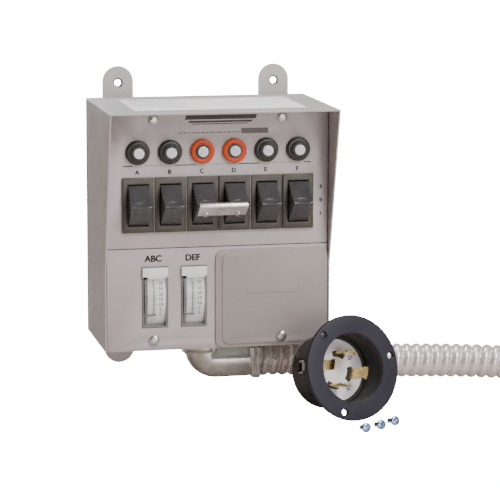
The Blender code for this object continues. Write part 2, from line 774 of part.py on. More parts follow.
def conduit_run():
    points = [(x, y, bottom - drop) for x, y, drop in conduit_points]
    route = smooth_route(points, conduit * 0.6)
    curve = bpy.data.curves.new("conduit", 'CURVE')
    curve.dimensions = '3D'
    curve.bevel_depth = conduit / 2
    curve.bevel_resolution = 2
    curve.use_fill_caps = True
    spline = curve.splines.new('POLY')
    spline.points.add(len(route) - 1)
    for spot, point in zip(spline.points, route):
        spot.co = (*point, 1)
    obj = bpy.data.objects.new("conduit", curve)
    bpy.context.scene.collection.objects.link(obj)
    part(obj, "conduit", bright_zinc, smooth=False)
    end = Vector(points[-1])
    heading = (route[-1] - route[-2]).normalized()
    r, t = fitting / 2, nipple / 2
    far = fitting_length + fitting_thread
    profile = [(t - 0.0025, 0), (r, 0), (r, fitting_length), (t, fitting_length), (t, far), (t - 0.0025, far)]
    turn = heading.to_track_quat('Z', 'Y').to_euler()
    part(turned(profile, end + heading * gap, turn, 20), "conduit_fitting", die_cast)


def inlet_frame():
    """Frame of the inlet as it lies: its rim and its back end on the floor, Z out of the mouth."""
    tilt = math.atan2((inlet_flange - inlet_body_end) / 2, inlet_length)
    height = bottom - floor_drop + inlet_flange / 2 * math.cos(tilt)
    at = Matrix.Translation((*inlet_place, height))
    turn = Matrix.Rotation(math.radians(inlet_turn), 4, 'Z')
    return at @ turn @ Matrix.Rotation(math.pi / 2 - tilt, 4, 'X')


def inlet():
    frame = inlet_frame()
    rim, mouth = inlet_flange / 2, inlet_mouth / 2
    core_back = -inlet_recess - inlet_core_thick
    profile = [(mouth, 0), (rim, 0), (rim, -inlet_flange_thick), (inlet_body / 2, -inlet_flange_thick),
               (inlet_body_end / 2, -inlet_length), (inlet_neck / 2, -inlet_length),
               (inlet_neck / 2, core_back - gap), (mouth, core_back - gap)]
    housing = turned(profile[::-1], (0, 0, 0), (0, 0, 0), 32)
    housing.matrix_world = frame
    for i in range(3):
        angle = math.radians(inlet_hole_turn + 120 * i)
        spot = Vector((math.cos(angle), math.sin(angle), 0)) * inlet_hole_circle / 2
        hole = rod(inlet_hole, (0, 0, 0), 3 * inlet_flange_thick, "z", 16)
        hole.matrix_world = frame @ Matrix.Translation(spot - Vector((0, 0, 2 * inlet_flange_thick)))
        cut(housing, hole)
    slot = block((-inlet_body / 2 - 0.004, -0.006, -inlet_recess - 0.008),
                 (-mouth + 0.002, 0.006, -inlet_recess + 0.001))
    slot.matrix_world = frame @ Matrix.Rotation(math.radians(-12), 4, 'Z') @ slot.matrix_world
    cut(housing, slot)
    part(housing, "inlet_housing", inlet_plastic)

    rim = mouth - gap
    profile = [(0, -inlet_recess), (rim, -inlet_recess), (rim, core_back), (inlet_neck / 2 - gap, core_back),
               (inlet_neck / 2 - gap, -inlet_length + 0.002), (0, -inlet_length + 0.002)]
    core = turned(profile, (0, 0, 0), (0, 0, 0), 32)
    core.matrix_world = frame
    core = frozen(core)
    for i in range(4):
        r, half = blade_circle / 2, blade_arc / 2
        turn = blade_turn + 90 * i
        shape = arc((0, 0), r + blade_gauge / 2, turn - half, turn + half, 9)
        shape += arc((0, 0), r - blade_gauge / 2, turn + half, turn - half, 9)
        length = blade_length + 0.002
        blade = outline(shape, length, frame @ Matrix.Translation((0, 0, -inlet_recess - 0.002 + length / 2)))
        join(core, blade)
    part(core, "inlet_core", white_plastic)


def loose_screw(index):
    """A flange screw lying on the rim of its head and the end of its shank."""
    x, y = loose_screws[index]
    tilt = math.atan2((loose_head - loose_shank) / 2, loose_length)
    height = bottom - floor_drop + loose_head / 2 * math.cos(tilt) + gap
    turn = Matrix.Rotation(math.radians(loose_screw_turn + 4 * index), 4, 'Z')
    turn = turn @ Matrix.Rotation(math.pi / 2 - tilt, 4, 'X')
    pan_screw("inlet_screw_%d" % (index + 1), (x, y, height), bright_zinc, turn.to_euler()[:],
              loose_head, 0.0022, loose_shank, loose_length)


rear_box()
panel_rail()
upper_panel()
lower_cover()
cover_screw_set(blank_plate())
for number in range(len(circuits)):
    breaker(number)
    switch(number)
handle_tie()
for meter_group in meter_centres:
    meter(meter_group)
elbow()
conduit_run()
inlet()
for number in range(len(loose_screws)):
    loose_screw(number)
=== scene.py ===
import math

import bmesh
import bpy
from mathutils import Matrix, Vector


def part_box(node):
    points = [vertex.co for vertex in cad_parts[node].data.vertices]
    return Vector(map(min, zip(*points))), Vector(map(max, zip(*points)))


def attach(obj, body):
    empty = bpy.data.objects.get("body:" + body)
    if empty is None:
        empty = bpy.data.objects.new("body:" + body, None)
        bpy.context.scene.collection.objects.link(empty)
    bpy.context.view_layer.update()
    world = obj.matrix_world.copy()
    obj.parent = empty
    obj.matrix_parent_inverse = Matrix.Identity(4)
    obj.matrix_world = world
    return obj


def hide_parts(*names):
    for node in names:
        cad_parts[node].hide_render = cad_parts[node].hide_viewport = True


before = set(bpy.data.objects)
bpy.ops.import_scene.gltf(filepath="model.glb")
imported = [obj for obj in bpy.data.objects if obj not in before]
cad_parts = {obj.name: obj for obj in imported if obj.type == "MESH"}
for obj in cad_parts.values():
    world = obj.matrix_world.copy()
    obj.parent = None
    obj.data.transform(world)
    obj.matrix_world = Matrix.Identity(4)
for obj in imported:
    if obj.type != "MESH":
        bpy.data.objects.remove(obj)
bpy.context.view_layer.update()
circuits = "abcdef"
groups = ("abc", "def")
modulePitch = 0.0254
boxTop = 0.095
boxBottom = -0.095
ground = -0.143    # what the loose pieces lie on
outward = Matrix.Rotation(math.pi / 2, 4, 'X')    # a turned piece's Z comes out of the panel


def turned(degrees, axis='Z'):
    return Matrix.Rotation(math.radians(degrees), 4, axis)


def moved(step):
    return Matrix.Translation(step)


def link(obj):
    bpy.context.scene.collection.objects.link(obj)


def drop(obj):
    bpy.data.objects.remove(obj)


def deselectAll():
    if bpy.context.mode != 'OBJECT':
        bpy.ops.object.mode_set(mode='OBJECT')
    bpy.ops.object.select_all(action='DESELECT')


def pick(*objs):
    deselectAll()
    for obj in objs:
        obj.select_set(True)
    bpy.context.view_layer.objects.active = objs[0]


def edit(obj):
    pick(obj)
    bpy.ops.object.mode_set(mode='EDIT')


def done():
    bpy.ops.object.mode_set(mode='OBJECT')


def selectWhole():
    bpy.ops.mesh.select_all(action='SELECT')


def choose(obj, kind, test):
    # selects the verts, edges or faces that pass the test, given each one and its middle
    bpy.ops.mesh.select_mode(type={"verts": 'VERT', "edges": 'EDGE', "faces": 'FACE'}[kind])
    bpy.ops.mesh.select_all(action='DESELECT')
    mesh = bmesh.from_edit_mesh(obj.data)
    for item in getattr(mesh, kind):
        spots = [item.co] if kind == "verts" else [v.co for v in item.verts]
        if test(item, sum(spots, Vector()) / len(spots)):
            item.select_set(True)
    bmesh.update_edit_mesh(obj.data)


def extrude(x=0.0, y=0.0, z=0.0):
    bpy.ops.mesh.extrude_region_move(TRANSFORM_OT_translate={"value": (x, y, z)})


def settle(obj):
    # the piece's place goes into its mesh
    pick(obj)
    bpy.ops.object.transform_apply(location=True, rotation=True, scale=True)
    return obj


def place(obj, matrix):
    obj.matrix_world = matrix @ obj.matrix_world
    return settle(obj)


def addBox(name, low, high):
    low, high = Vector(low), Vector(high)
    deselectAll()
    bpy.ops.mesh.primitive_cube_add(size=1, location=(low + high) / 2)
    obj = bpy.context.object
    obj.name = name
    obj.scale = high - low
    return settle(obj)


def drawLine(name, points):
    # one vertex, extruded from point to point
    deselectAll()
    bpy.ops.mesh.primitive_plane_add(size=0.001)
    obj = bpy.context.object
    obj.name = name
    bpy.ops.object.mode_set(mode='EDIT')
    bpy.ops.mesh.select_mode(type='VERT')
    selectWhole()
    bpy.ops.mesh.merge(type='CENTER')
    bpy.ops.transform.translate(value=points[0])
    for before, after in zip(points, points[1:]):
        extrude(*(Vector(after) - Vector(before)))
    return obj


def fillOutline():
    selectWhole()
    bpy.ops.mesh.edge_face_add()


def faceOutwards():
    selectWhole()
    bpy.ops.mesh.normals_make_consistent(inside=False)
    done()


def spinClosed(angle, steps):
    # spins what is selected about Z, merges the seam and turns the faces outwards
    bpy.ops.mesh.spin(steps=steps, angle=angle, center=(0, 0, 0), axis=(0, 0, 1))
    selectWhole()
    bpy.ops.mesh.remove_doubles(threshold=0.000002)
    faceOutwards()


def lathe(name, profile, steps=48):
    # profile of (radius, height) spun about Z
    obj = drawLine(name, [(radius, 0, height) for radius, height in profile])
    selectWhole()
    spinClosed(2 * math.pi, steps)
    return obj


def sweep(name, outline, half):
    # a closed outline of (radius, height) swept about Z by half an angle to each side of X
    obj = drawLine(name, [(x * math.cos(half), x * math.sin(half), z) for x, z in outline])
    fillOutline()
    spinClosed(2 * half, 12)    # spin turns clockwise
    return obj


def drawOut(name, outline, wide):
    # a side view, with points forwards and up, drawn out sideways
    obj = drawLine(name, [(-wide / 2, -p.x, p.y) for p in outline])
    fillOutline()
    extrude(x=wide)
    faceOutwards()
    return obj


def addText(text, size, thick, offset):
    deselectAll()
    bpy.ops.object.text_add(location=(0, 0, 0))
    obj = bpy.context.object
    obj.data.body = text
    obj.data.size = size
    obj.data.align_x = 'CENTER'
    obj.data.align_y = 'CENTER'
    obj.data.extrude = thick
    obj.data.offset = offset
    bpy.ops.object.convert(target='MESH')
    return obj


def finishWith(obj, kind, **settings):
    pick(obj)
    mod = obj.modifiers.new(kind.lower(), kind)
    for key, value in settings.items():
        setattr(mod, key, value)
    bpy.ops.object.modifier_apply(modifier=mod.name)
    return obj


def softEdges(obj, width, segments=3, angle=30):
    finishWith(obj, 'BEVEL', width=width, segments=segments, limit_method='ANGLE',
               angle_limit=math.radians(angle), use_clamp_overlap=True, harden_normals=False)
    return smooth(obj)


def smooth(obj, angle=35):
    pick(obj)
    bpy.ops.object.shade_smooth_by_angle(angle=math.radians(angle))
    return obj


def carve(obj, tool, operation='DIFFERENCE'):
    finishWith(obj, 'BOOLEAN', operation=operation, solver='EXACT', object=tool)
    drop(tool)
    return obj


def weld(obj, other):
    return carve(obj, other, 'UNION')


def together(name, *objs):
    pick(*objs)
    bpy.ops.object.join()
    obj = bpy.context.object
    obj.name = name
    return obj


def copied(obj, name, matrix):
    new = obj.copy()
    new.data = obj.data.copy()
    new.name = name
    link(new)
    return place(new, matrix)


def fromNode(node, name, width):
    # the plain solid with its triangles merged and its edges rounded
    new = copied(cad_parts[node], name, Matrix())
    edit(new)
    selectWhole()
    bpy.ops.mesh.remove_doubles(threshold=0.000005)
    bpy.ops.mesh.dissolve_limited(angle_limit=math.radians(2))
    done()
    softEdges(new, width, 3)
    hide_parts(node)
    return new


def give(obj, finish, body="root"):
    obj.data.materials.clear()
    obj.data.materials.append(finish)
    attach(obj, body)
    return obj


def dress(node, finish):
    # a hidden solid is kept as it is, in its own material
    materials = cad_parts[node].data.materials
    materials.clear()
    materials.append(finish)


def arc(centre, radius, first, last, count):
    step = (last - first) / (count - 1)
    angles = [math.radians(first + step * i) for i in range(count)]
    return [(centre[0] + radius * math.cos(a), centre[1] + radius * math.sin(a)) for a in angles]


# Materials. Each has its colour, its variation and its fine surface from nodes.

def newMaterial(name, colour, roughness, metallic=0.0):
    finish = bpy.data.materials.new(name)
    finish.use_nodes = True
    shader = finish.node_tree.nodes["Principled BSDF"]
    shader.inputs["Base Color"].default_value = (*colour, 1)
    shader.inputs["Roughness"].default_value = roughness
    shader.inputs["Metallic"].default_value = metallic
    return finish, shader


def addNode(finish, kind, **values):
    node = finish.node_tree.nodes.new("ShaderNode" + kind)
    for key, value in values.items():
        if key in node.inputs:
            node.inputs[key].default_value = value
        else:
            setattr(node, key, value)
    return node


def wire(finish, source, target):
    finish.node_tree.links.new(source, target)


def addCoat(shader, weight, roughness):
    shader.inputs["Coat Weight"].default_value = weight
    shader.inputs["Coat Roughness"].default_value = roughness


def noise(finish, scale, detail=3.0, stretch=(1, 1, 1)):
    coords = addNode(finish, "TexCoord")
    mapping = addNode(finish, "Mapping")
    mapping.inputs["Scale"].default_value = stretch
    texture = addNode(finish, "TexNoise", Scale=scale, Detail=detail)
    wire(finish, coords.outputs["Object"], mapping.inputs["Vector"])
    wire(finish, mapping.outputs["Vector"], texture.inputs["Vector"])
    return texture


def ramp(finish, source, stops):
    node = addNode(finish, "ValToRGB")
    elements = node.color_ramp.elements
    while len(elements) < len(stops):
        elements.new(0.5)
    for element, (position, colour) in zip(elements, stops):
        element.position = position
        element.color = (*colour, 1)
    wire(finish, source, node.inputs["Fac"])
    return node


def gray(value):
    return (value, value, value)


def vary(finish, shader, texture, colour, spread):
    # the colour wanders a little darker and lighter
    dark = tuple(c * (1 - spread) for c in colour)
    light = tuple(min(1, c * (1 + spread)) for c in colour)
    node = ramp(finish, texture.outputs["Fac"], [(0.32, dark), (0.68, light)])
    wire(finish, node.outputs["Color"], shader.inputs["Base Color"])


def bump(finish, shader, sources, distance, strength):
    last = None
    for source in sources:
        node = addNode(finish, "Bump", Strength=strength, Distance=distance)
        wire(finish, source, node.inputs["Height"])
        if last:
            wire(finish, last.outputs["Normal"], node.inputs["Normal"])
        last = node
    wire(finish, last.outputs["Normal"], shader.inputs["Normal"])


def roughen(finish, shader, texture, low, high):
    node = ramp(finish, texture.outputs["Fac"], [(0.3, gray(low)), (0.7, gray(high))])
    wire(finish, node.outputs["Color"], shader.inputs["Roughness"])


def paint(name, colour, roughness=0.42):
    # sprayed enamel: orange peel, a faint mottle and a few dull patches
    finish, shader = newMaterial(name, colour, roughness)
    peel = noise(finish, 900, 2)
    mottle = noise(finish, 22, 4)
    vary(finish, shader, mottle, colour, 0.035)
    roughen(finish, shader, noise(finish, 60, 3), roughness - 0.06, roughness + 0.08)
    bump(finish, shader, [peel.outputs["Fac"], mottle.outputs["Fac"]], 0.00003, 0.6)
    addCoat(shader, 0.15, 0.3)
    return finish


def plastic(name, colour, roughness, grain=0.00002, scale=1400, coat=0.0):
    finish, shader = newMaterial(name, colour, roughness)
    fine = noise(finish, scale, 2)
    wide = noise(finish, 70, 3)
    vary(finish, shader, wide, colour, 0.07)
    roughen(finish, shader, wide, max(0.03, roughness - 0.05), roughness + 0.07)
    bump(finish, shader, [fine.outputs["Fac"]], grain, 0.7)
    addCoat(shader, coat, 0.15)
    return finish


def metal(name, colour, roughness, grain=0.00002, scale=500, stretch=(1, 1, 1), spread=0.12, pure=1.0):
    finish, shader = newMaterial(name, colour, roughness, pure)
    fine = noise(finish, scale, 4, stretch)
    wide = noise(finish, 110, 4)
    vary(finish, shader, wide, colour, spread)
    roughen(finish, shader, fine, roughness - 0.08, roughness + 0.12)
    bump(finish, shader, [fine.outputs["Fac"]], grain, 0.8)
    return finish


boxPaint = paint("boxPaint", (0.50, 0.452, 0.46))
platePaint = paint("platePaint", (0.355, 0.32, 0.305), 0.46)
bezelPlastic = plastic("bezelPlastic", (0.070, 0.064, 0.052), 0.42, 0.00003, 1800)
rockerPlastic = plastic("rockerPlastic", (0.056, 0.056, 0.060), 0.28, 0.000002, 900, 0.3)
collarPlastic = plastic("collarPlastic", (0.027, 0.026, 0.019), 0.33, 0.00002, 1500, 0.1)
orangePlastic = plastic("orangePlastic", (0.60, 0.055, 0.004), 0.42, 0.00002, 1200, 0.05)
casePlastic = plastic("casePlastic", (0.03, 0.03, 0.028), 0.4)
whitePlastic = plastic("whitePlastic", (0.84, 0.84, 0.89), 0.32, 0.00001, 1200, 0.2)
scaleCard = plastic("scaleCard", (0.93, 0.93, 0.93), 0.5, 0.00001, 1500)
ink = plastic("ink", (0.035, 0.033, 0.035), 0.55)
softInk = plastic("softInk", (0.16, 0.15, 0.145), 0.6)
paper = plastic("paper", (0.96, 0.95, 0.98), 0.55, 0.00002, 1100)
zinc = metal("zinc", (0.70, 0.68, 0.66), 0.28, 0.00001)
blueZinc = metal("blueZinc", (0.33, 0.49, 0.74), 0.22, 0.00001, spread=0.25)
tieSteel = metal("tieSteel", (0.92, 0.88, 0.85), 0.32, 0.00001, 300, (1, 14, 14))
dieCast = metal("dieCast", (0.60, 0.58, 0.555), 0.36, 0.00006, 420, spread=0.16)
conduitSteel = metal("conduitSteel", (0.80, 0.745, 0.72), 0.3, 0.000002, 300, spread=0.04, pure=0.55)
brass = metal("brass", (0.83, 0.62, 0.26), 0.24, 0.00001, 400, (6, 6, 1))
flangePlastic = plastic("flangePlastic", (0.015, 0.0135, 0.027), 0.5, 0.00002, 1300)
bodyPlastic = plastic("bodyPlastic", (0.036, 0.033, 0.029), 0.42, 0.00002, 1300)
# painted shade: the body plastic made darker, for the inner wall of the inlet's well
shadedWellPlastic = plastic("shadedWellPlastic", (0.008, 0.008, 0.007), 0.6, 0.00002, 1300)
coreFace = plastic("coreFace", (0.90, 0.88, 0.91), 0.4, 0.00001)
lidMetal = metal("lidMetal", (0.27, 0.285, 0.265), 0.5, 0.00003, 600, spread=0.08)


def clearPlastic():
    finish, shader = newMaterial("clearPlastic", (0.9, 0.92, 0.94), 0.06)
    shader.inputs["Alpha"].default_value = 0.13
    addCoat(shader, 0.4, 0.05)
    bump(finish, shader, [noise(finish, 40, 2).outputs["Fac"]], 0.00002, 0.4)
    return finish


lensPlastic = clearPlastic()
print("materials made")

# Camera, light and floor.
camera = {"place": (-0.3685, -1.8733, 0.2963), "tilt": 80.243, "turn": -12.4596, "roll": 0.18,
          "lens": 170.3}
studio = {"floorColour": (0.55, 0.49, 0.44), "glow": 20.0, "strength": 0.42,
          "left": (0.20, 0.195, 0.19), "right": (1.0, 0.985, 0.97)}
lights = (
    # name, size, power, place, aim, colour
    ("key", 0.9, 43, (0.75, -1.45, 1.5), (0, 0, 0), (1.0, 0.98, 0.965)),
    ("fill", 0.8, 15, (0.45, -2.1, 0.02), (0.05, 0, -0.05), (1.0, 0.965, 0.95)),
    ("top", 0.8, 22, (0.0, 0.3, 1.5), (0, -0.05, 0.1), (0.97, 0.98, 1.0)),
    ("rear", 0.9, 10, (-0.25, 2.1, 0.35), (0, 0, 0), (1, 1, 1)),
)
floorTop = min(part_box("inlet_housing")[0][2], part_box("conduit_fitting")[0][2])


def addCamera():
    data = bpy.data.cameras.new("camera")
    data.lens = camera["lens"]
    data.clip_start = 0.05
    data.clip_end = 30
    obj = bpy.data.objects.new("camera", data)
    obj.location = camera["place"]
    obj.rotation_euler = (math.radians(camera["tilt"]), 0, math.radians(camera["turn"]))
    obj.rotation_euler.rotate_axis('Z', math.radians(camera["roll"]))
    link(obj)
    bpy.context.scene.camera = obj


def addLight(name, size, power, spot, aim, colour):
    data = bpy.data.lights.new(name, 'AREA')
    data.size = size
    data.energy = power
    data.color = colour
    obj = bpy.data.objects.new(name, data)
    obj.location = spot
    obj.rotation_euler = (Vector(aim) - Vector(spot)).to_track_quat('-Z', 'Y').to_euler()
    link(obj)


def addFloor():
    colour = studio["floorColour"]
    deselectAll()
    bpy.ops.mesh.primitive_plane_add(size=14, location=(0, 0, floorTop - 0.0002))
    floor = bpy.context.object
    floor.name = "floor"
    finish, shader = newMaterial("paleFloor", colour, 0.75)
    vary(finish, shader, noise(finish, 3, 2), colour, 0.01)
    # the floor glows for the eye only, so it is white without lighting the box from below
    sight = addNode(finish, "LightPath")
    glow = addNode(finish, "Math", operation='MULTIPLY')
    glow.inputs[1].default_value = studio["glow"]
    wire(finish, sight.outputs["Is Camera Ray"], glow.inputs[0])
    wire(finish, glow.outputs["Value"], shader.inputs["Emission Strength"])
    shader.inputs["Emission Color"].default_value = (1, 1, 1, 1)
    floor.data.materials.append(finish)
    settle(floor)


def addRoom():
    world = bpy.data.worlds.new("studio")
    world.use_nodes = True
    sky = addNode(world, "TexCoord")
    split = addNode(world, "SeparateXYZ")
    wire(world, sky.outputs["Generated"], split.inputs["Vector"])
    # darker to the left of the box, white to the right
    room = ramp(world, split.outputs["X"], [(0.0, studio["left"]), (0.45, studio["right"])])
    background = world.node_tree.nodes["Background"]
    wire(world, room.outputs["Color"], background.inputs["Color"])
    background.inputs["Strength"].default_value = studio["strength"]
    bpy.context.scene.world = world


addCamera()
addFloor()
addRoom()
for light in lights:
    addLight(*light)
print("camera, light and floor placed")

# Conduit: a spiral of steel strip round one smooth route.
conduit = {"length": 0.457, "diameter": 0.0278, "pitch": 0.0084, "groove": 0.0024,
           "ringsPerTurn": 10, "sides": 40}
conduitRoute = [
    (0.0433, -0.0450, -0.1150), (0.0600, -0.0450, -0.1152), (0.0850, -0.0450, -0.1168),
    (0.1150, -0.0450, -0.1192), (0.1450, -0.0450, -0.1209), (0.1720, -0.0451, -0.1220),
    (0.2000, -0.0462, -0.1231), (0.2280, -0.0508, -0.1240), (0.2560, -0.0606, -0.1248),
    (0.2810, -0.0770, -0.1255), (0.3010, -0.0990, -0.1261), (0.3150, -0.1260, -0.1266),
    (0.3225, -0.1560, -0.1269), (0.3245, -0.1850, -0.1270), (0.3247, -0.2182, -0.1270),
    (0.3247, -0.2472, -0.1270), (0.3247, -0.2762, -0.1270),
]


def alongRoute(points, step):
    # even steps on a smooth curve through the points
    spots = [Vector(p) for p in points]
    spots = [2 * spots[0] - spots[1]] + spots + [2 * spots[-1] - spots[-2]]
    fine = []
    for a, b, c, d in zip(spots, spots[1:], spots[2:], spots[3:]):
        for i in range(60):
            t = i / 60
            fine.append(0.5 * (2 * b + (c - a) * t + (2 * a - 5 * b + 4 * c - d) * t * t
                               + (3 * b - a - 3 * c + d) * t ** 3))
    fine.append(spots[-2])
    travelled = [0.0]
    for before, after in zip(fine, fine[1:]):
        travelled.append(travelled[-1] + (after - before).length)
    count = int(travelled[-1] / step)
    even, i = [], 0
    for k in range(count + 1):
        want = travelled[-1] * k / count
        while travelled[i + 1] < want and i < len(fine) - 2:
            i += 1
        share = (want - travelled[i]) / (travelled[i + 1] - travelled[i])
        even.append(fine[i].lerp(fine[i + 1], share))
    return even, travelled[-1]


def conduitPiece():
    step = conduit["pitch"] / conduit["ringsPerTurn"]
    path, length = alongRoute(conduitRoute, step)
    sides, radius = conduit["sides"], conduit["diameter"] / 2
    mesh = bmesh.new()
    rings = []
    up = Vector((0, 0, 1))
    for k, spot in enumerate(path):
        ahead = (path[min(k + 1, len(path) - 1)] - path[max(k - 1, 0)]).normalized()
        side = up.cross(ahead).normalized()
        rise = ahead.cross(side)
        ring = []
        for j in range(sides):
            angle = 2 * math.pi * j / sides
            wave = (k / conduit["ringsPerTurn"] + j / sides) % 1.0
            fold = abs(math.cos(math.pi * wave)) ** 0.75     # a sharp valley between round ridges
            r = radius - conduit["groove"] * (1 - fold)
            ring.append(mesh.verts.new(spot + r * (math.cos(angle) * side + math.sin(angle) * rise)))
        rings.append(ring)
    for first, second in zip(rings, rings[1:]):
        for j in range(sides):
            n = (j + 1) % sides
            mesh.faces.new((first[j], first[n], second[n], second[j]))
    mesh.faces.new(rings[0][::-1])
    mesh.faces.new(rings[-1])
    bmesh.ops.recalc_face_normals(mesh, faces=mesh.faces)
    data = bpy.data.meshes.new("flexible_conduit")
    mesh.to_mesh(data)
    mesh.free()
    obj = bpy.data.objects.new("flexible_conduit", data)
    link(obj)
    smooth(obj, 60)
    return obj, path[::5] + [path[-1]], length


def threadRidges(radius, start, end, pitch, depth):
    # profile points of a thread, from start to end height
    points, turns = [], max(1, round(abs(end - start) / pitch))
    for i in range(turns):
        low = start + (end - start) * i / turns
        high = start + (end - start) * (i + 1) / turns
        points += [(radius - depth, low), (radius, (low + high) / 2)]
    return points + [(radius - depth, end)]


fitting = {"body": 0.0155, "neck": 0.0132, "bore": 0.0108, "length": 0.024, "thread": 0.012}


def conduitFitting():
    end = Vector(conduitRoute[-1])
    ahead = (end - Vector(conduitRoute[-2])).normalized()
    body, neck, bore, long = fitting["body"], fitting["neck"], fitting["bore"], fitting["length"]
    tip = long + fitting["thread"]
    profile = [(bore, 0), (body - 0.0012, 0), (body, 0.0012), (body, 0.0075), (body - 0.0012, 0.0085),
               (body - 0.0012, 0.0150), (body, 0.0160), (body, long - 0.0008), (body - 0.0006, long),
               (neck, long)]
    profile += threadRidges(neck, long + 0.0008, tip - 0.0006, 0.0018, 0.0007)
    profile += [(neck - 0.0012, tip), (bore, tip), (bore, 0)]
    obj = lathe("conduit_connector", profile, 64)
    saddle = addBox("saddle", (-0.0062, 0.0110, 0.0035), (0.0062, 0.0152, 0.0205))
    softEdges(saddle, 0.0012)
    weld(obj, saddle)
    smooth(obj, 40)
    turn = ahead.to_track_quat('Z', 'Y').to_matrix().to_4x4()
    return place(obj, moved(end + ahead * 0.0003) @ turn)


hose, hosePath, hoseLength = conduitPiece()
give(hose, conduitSteel)
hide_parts("conduit")
connector = give(conduitFitting(), dieCast)
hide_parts("conduit_fitting")
print("conduit: %.3f m" % hoseLength)

# Box: enamelled sheet steel, with the covers' cut edges softened.
for node, edge, finish, slot in (("upper_panel", 0.0004, boxPaint, "gray_paint"),
                                 ("lower_cover", 0.0004, boxPaint, "gray_paint"),
                                 ("inlet_blank_plate", 0.0005, platePaint, "plate_paint")):
    give(fromNode(node, node + "_sheet", edge), finish)
dress("panel_rail", boxPaint)
knockouts = {"back": ((-0.045, -0.030), (0.045, -0.030), (0.0, 0.050)), "under": (-0.060, 0.060),
             "inFrom": -0.045, "radius": 0.0111, "groove": 0.0007, "deep": 0.0004}
eyelets = {"across": (-0.064, 0.064), "high": (0.1065, -0.1095)}


def knockoutRing():
    # a cutter for the round groove of a knockout, lying in Z = 0
    k = knockouts
    r, g, d = k["radius"], k["groove"], k["deep"]
    return lathe("knockout", [(r, -d), (r + g, -d), (r + g, d), (r, d), (r, -d)], 48)


def rearBox():
    box = fromNode("rear_box", "rear_box_shell", 0.0005)
    for x, z in knockouts["back"]:
        carve(box, place(knockoutRing(), moved((x, 0, z)) @ outward))
    for x in knockouts["under"]:
        carve(box, place(knockoutRing(), moved((x, knockouts["inFrom"], boxBottom))))
    smooth(box, 30)
    finishWith(box, 'WEIGHTED_NORMAL', keep_sharp=True)
    return give(box, boxPaint)


def tabEyelets():
    # a pressed steel lining in each tab's hole
    profile = [(0.0040, 0), (0.0041, 0.0014), (0.0028, 0.0006), (0.0026, 0.0002), (0.0026, 0), (0.0040, 0)]
    rings = []
    for x in eyelets["across"]:
        for z in eyelets["high"]:
            ring = lathe("eyelet", profile, 40)
            rings.append(place(ring, moved((x, -0.0001, z)) @ outward))
    give(smooth(together("tab_eyelets", *rings), 30), lidMetal)


rearBox()
tabEyelets()

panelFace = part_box("upper_panel")[0][1]
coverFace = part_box("lower_cover")[0][1]
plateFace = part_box("inlet_blank_plate")[0][1]
marks = {
    "thick": 0.00006, "letter": 0.0047, "group": 0.0069, "position": 0.0038, "weight": 0.022,
    "rules": ((-0.0749, -0.0676), (-0.0345, -0.0179), (0.0163, 0.0330), (0.0685, 0.0741)),
    "dashes": ((-0.0580, -0.0435), (-0.0090, 0.0140), (0.0440, 0.0575)),
    "positions": (("II", 0.0310), ("0", 0.0204), ("I", 0.0098)),
    "bars": ((0.056, 0.0034, 0.0876), (0.050, 0.0014, 0.0842), (0.044, 0.0006, 0.0824)),
    "groups": (("ABC", -0.0514), ("DEF", -0.0203)),
}


def mark(x, z, wide, high, face, lean=0.0):
    # a printed bar on the panel
    obj = addBox("mark", (x - wide / 2, face - marks["thick"], z - high / 2),
                 (x + wide / 2, face + 0.0001, z + high / 2))
    if lean:
        edit(obj)
        choose(obj, "verts", lambda v, spot: spot.z > z)
        bpy.ops.transform.translate(value=(lean, 0, 0))
        done()
    return obj


def printed(text, size, x, z, face):
    obj = addText(text, size, marks["thick"] / 2, size * marks["weight"])
    return place(obj, moved((x, face - marks["thick"] / 2, z)) @ outward)


def bold(text, size, x, z, face):
    # struck twice, a hair apart
    return [printed(text, size, x + shift, z, face) for shift in (-0.00013, 0.00013)]


def circuitX(index):
    return (index - 2.5) * modulePitch


def panelPrint():
    face = panelFace
    dark = []
    for i, letter in enumerate(circuits):
        dark += bold(letter.upper(), marks["letter"], circuitX(i) - 0.0003, 0.0457, face)
    for low, high in marks["rules"]:
        dark.append(mark((low + high) / 2, 0.0508, high - low, 0.0008, face))
    for text, z in marks["positions"]:
        dark += bold(text, marks["position"], 0.0822, z, face)
    for wide, high, z in marks["bars"]:
        dark.append(mark(0.0015, z, wide, high, face, high * 0.4))
    give(together("panel_print", *dark), ink)
    pale = [mark(0.0290, 0.0765, 0.0215, 0.0042, face)]
    for low, high in marks["dashes"]:
        x = low
        while x < high - 0.001:
            pale.append(mark(x + 0.0008, 0.0510, 0.0015, 0.0006, face))
            x += 0.0024
    x = -0.0310
    while x < 0.0160:
        wide = 0.0030 + 0.0016 * math.sin(x * 900)
        pale.append(mark(x + wide / 2, 0.0757, wide, 0.0008, face))
        x += wide + 0.0009
    give(together("panel_small_print", *pale), softInk)
    names = []
    for text, x in marks["groups"]:
        names += bold(text, marks["group"], x, -0.0222, coverFace)
    give(together("cover_print", *names), ink)


topLabel = {"left": -0.0675, "right": 0.0675, "front": -0.102, "back": -0.024, "thick": 0.00015}


def labelOnTop():
    t = topLabel
    sheet = addBox("top_label", (t["left"], t["front"], boxTop - 0.0001),
                   (t["right"], t["back"], boxTop + t["thick"]))
    softEdges(sheet, 0.00005, 2)
    give(sheet, paper)
    lines = []
    for row in range(7):
        y = t["back"] - 0.006 - row * 0.0095
        x = t["left"] + 0.006
        end = t["left"] + (0.080 if row == 0 else 0.050 - 0.006 * (row % 3))
        while x < end:
            wide = 0.005 + 0.003 * math.sin(row * 3 + x * 800)
            lines.append(addBox("line", (x, y - 0.0008, boxTop + t["thick"] - 0.00005),
                                (x + wide, y + 0.0006, boxTop + t["thick"] + 0.00003)))
            x += wide + 0.0016
    give(together("top_label_lines", *lines), softInk)


